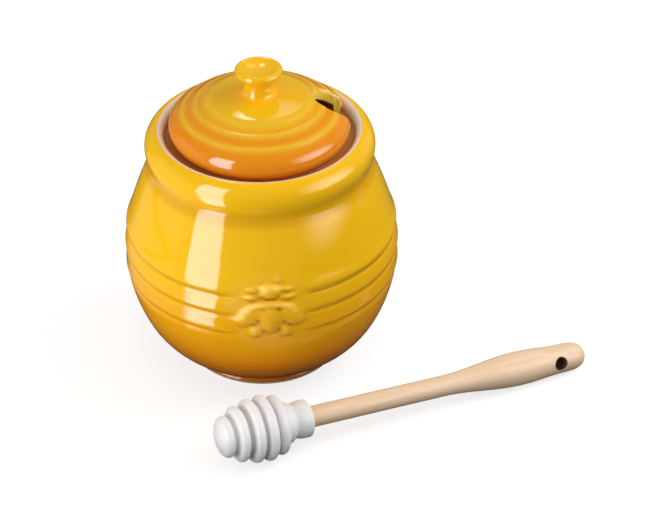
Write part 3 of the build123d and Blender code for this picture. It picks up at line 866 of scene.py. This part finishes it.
# studio: a pale surround, soft lamps left and right, and cards of light that only reflections show
studio = {
    "floorSize": 8.0, "floorSeen": 0.40, "floorBounce": 0.08, "floorGlow": 0.72,
    "surround": 0.62, "surroundMirrored": 0.22,
    "lampTarget": (0, 0, 0.06), "lidTarget": (0, 0, 0.12), "lampLift": 0.001, "cardLift": 0.002,
    "cardTint": (1.0, 0.88, 0.84, 1.0),
}
lamps = {
    # name: azimuth, elevation, distance, width, height, radiance
    "leftSoft": (-146, 12, 0.90, 0.90, 0.70, 1.8),
    "rightSoft": (4, 40, 0.90, 0.60, 0.60, 3.6),
}
floorLamp = {"azimuth": -146, "near": 0.12, "far": 0.70, "width": 0.50, "radiance": 1.6}
# cards: their ends are (azimuth, distance) round the pot; soft is the fading at the sides, at
# the foot and at the top
windowCard = {
    "near": ((-143.5, 0.090), (-119.5, 0.104)), "far": ((-148.8, 0.64), (-121.4, 0.64)),
    "height": 0.72, "radiance": 12.0, "tint": (1.0, 0.81, 0.97, 1.0),
    "softFloor": (0.06, 0.08, 0.001), "softWall": (0.03, 0.001, 0.05),
}
rightCard = {"ends": ((-58, 0.56), (16, 0.60)), "low": 0.06, "height": 0.62, "radiance": 8.5,
             "soft": (0.5, 0.16, 0.75)}
# a dim sheet on the floor at the left, for the pale veil on that side
floorCard = {"azimuths": (-222, -140), "near": 0.085, "far": 0.64, "radiance": 0.6,
             "soft": (0.1, 0.1, 0.001)}
# dim walls that only brighten the mirrored surround: azimuths, distance, height, radiance
sideCards = {"leftWall": (-214, -146, 0.66, 0.60, 0.8), "rightWall": (0, 62, 0.66, 0.60, 0.55)}
sideSoft = (0.3, 0.05, 0.5)
# small lights high behind, for the lid: azimuth, elevation, distance, width, height, radiance
backCards = {
    "backSpot": (101, 53, 0.70, 0.14, 0.18, 9.0),
    "backGlow": (76, 48, 0.70, 0.26, 0.36, 2.0),
}
backSoft = (0.4, 0.4, 0.4)


def addLamp(name, place, facing, size, radiance):
    light = bpy.data.lights.new(name, "AREA")
    light.shape = "RECTANGLE"
    light.size, light.size_y = size
    light.energy = radiance * math.pi * size[0] * size[1]
    lamp = bpy.data.objects.new(name, light)
    bpy.context.scene.collection.objects.link(lamp)
    lamp.location = place
    lamp.rotation_euler = facing.to_track_quat("-Z", "Y").to_euler()
    lamp.visible_camera = False
    lamp.visible_glossy = False
    return lamp


def addCard(name, corners, radiance, tint, soft):
    # a glowing sheet between two corners at its foot and two at its top, seen only in reflections
    clearSelection()
    bpy.ops.mesh.primitive_plane_add(size=1)
    card = bpy.context.object
    card.name = name
    for vertex, corner in zip(card.data.vertices, corners):
        vertex.co = corner
    material, shop = newMaterial(name)
    tree = shop.tree
    glow = tree.nodes.new("ShaderNodeEmission")
    glow.inputs["Color"].default_value = tint
    across, up, _ = shop.xyz(shop.node("ShaderNodeTexCoord", {}, {}, "UV"))
    sides, foot, top = soft
    strength = across.between(0, sides) * (1 - across).between(0, sides)
    strength = strength * up.between(0, foot) * (1 - up).between(0, top) * radiance
    tree.links.new(strength.socket, glow.inputs["Strength"])
    out = tree.nodes.new("ShaderNodeOutputMaterial")
    tree.links.new(glow.outputs[0], out.inputs["Surface"])
    card.data.materials.append(material)
    card.visible_camera = card.visible_diffuse = card.visible_shadow = False
    card.visible_transmission = card.visible_volume_scatter = False


def onCircle(azimuth, elevation, distance, target):
    a, e = math.radians(azimuth), math.radians(elevation)
    way = Vector((math.cos(a) * math.cos(e), math.sin(a) * math.cos(e), math.sin(e)))
    return Vector(target) + way * distance


def makeFloor():
    clearSelection()
    bpy.ops.mesh.primitive_plane_add(size=studio["floorSize"], location=(0, 0, 0))
    floor = bpy.context.object
    floor.name = "floor"
    # seen straight on the floor is white; it sends little of that light back to the pot
    material, shop = newMaterial("floorPaper")
    tree = shop.tree
    seen = shop.node("ShaderNodeLightPath", {}, {}, "Is Camera Ray")
    tone = seen * (studio["floorSeen"] - studio["floorBounce"]) + studio["floorBounce"]
    plain = tree.nodes.new("ShaderNodeBsdfDiffuse")
    tree.links.new(shop.node("ShaderNodeCombineXYZ", {}, {0: tone, 1: tone, 2: tone}).socket,
                   plain.inputs["Color"])
    glow = tree.nodes.new("ShaderNodeEmission")
    tree.links.new((seen * studio["floorGlow"]).socket, glow.inputs["Strength"])
    both = tree.nodes.new("ShaderNodeAddShader")
    tree.links.new(plain.outputs[0], both.inputs[0])
    tree.links.new(glow.outputs[0], both.inputs[1])
    out = tree.nodes.new("ShaderNodeOutputMaterial")
    tree.links.new(both.outputs[0], out.inputs["Surface"])
    floor.data.materials.append(material)


def makeWorld():
    world = bpy.data.worlds.new("studio")
    bpy.context.scene.world = world
    world.use_nodes = True
    tree = world.node_tree
    tree.nodes.clear()
    shop = Wire(tree)
    seen = shop.node("ShaderNodeLightPath", {}, {}, "Is Camera Ray")
    mirrored = shop.node("ShaderNodeLightPath", {}, {}, "Is Glossy Ray")
    level = mirrored * (studio["surroundMirrored"] - studio["surround"]) + studio["surround"]
    sky = tree.nodes.new("ShaderNodeBackground")
    tree.links.new((seen * (1 - level) + level).socket, sky.inputs["Strength"])
    sky.inputs["Color"].default_value = (1, 1, 1, 1)
    out = tree.nodes.new("ShaderNodeOutputWorld")
    tree.links.new(sky.outputs[0], out.inputs["Surface"])


def makeLights():
    target = studio["lampTarget"]
    for name, (azimuth, elevation, distance, width, height, radiance) in lamps.items():
        place = onCircle(azimuth, elevation, distance, target)
        addLamp(name, place, Vector(target) - place, (width, height), radiance)
    near, far, azimuth = floorLamp["near"], floorLamp["far"], floorLamp["azimuth"]
    middle = onCircle(azimuth, 0, (near + far) / 2, (0, 0, studio["lampLift"]))
    lamp = addLamp("floorLamp", middle, Vector((0, 0, 1)), (far - near, floorLamp["width"]),
                   floorLamp["radiance"])
    lamp.rotation_euler = (math.pi, 0, math.radians(azimuth))


def cardEdge(ends, lift):
    return [onCircle(azimuth, 0, distance, (0, 0, lift)) for azimuth, distance in ends]


def raised(corners, height):
    return [corner + Vector((0, 0, height)) for corner in corners]


def makeCards():
    lift, tint = studio["cardLift"], studio["cardTint"]
    near, far = cardEdge(windowCard["near"], lift), cardEdge(windowCard["far"], lift)
    shine, shineTint = windowCard["radiance"], windowCard["tint"]
    addCard("windowFloor", near + far, shine, shineTint, windowCard["softFloor"])
    top = raised(far, windowCard["height"])
    addCard("window", far + top, shine, shineTint, windowCard["softWall"])
    low = cardEdge(rightCard["ends"], rightCard["low"])
    addCard("rightGlow", low + raised(low, rightCard["height"]), rightCard["radiance"], tint,
            rightCard["soft"])
    near, far = [cardEdge([(azimuth, floorCard[end]) for azimuth in floorCard["azimuths"]], lift)
                 for end in ("near", "far")]
    addCard("leftFloor", near + far, floorCard["radiance"], tint, floorCard["soft"])
    for name, (start, end, distance, height, radiance) in sideCards.items():
        low = cardEdge(((start, distance), (end, distance)), lift)
        addCard(name, low + raised(low, height), radiance, tint, sideSoft)
    target = Vector(studio["lidTarget"])
    for name, (azimuth, elevation, distance, width, height, radiance) in backCards.items():
        middle = onCircle(azimuth, elevation, distance, target)
        facing = (target - middle).to_track_quat("-Z", "Y").to_matrix()
        corners = [middle + facing @ Vector((across * width / 2, up * height / 2, 0))
                   for up in (-1, 1) for across in (-1, 1)]
        addCard(name, corners, radiance, tint, backSoft)


makeFloor()
makeWorld()
makeLights()
makeCards()
print("studio ready")
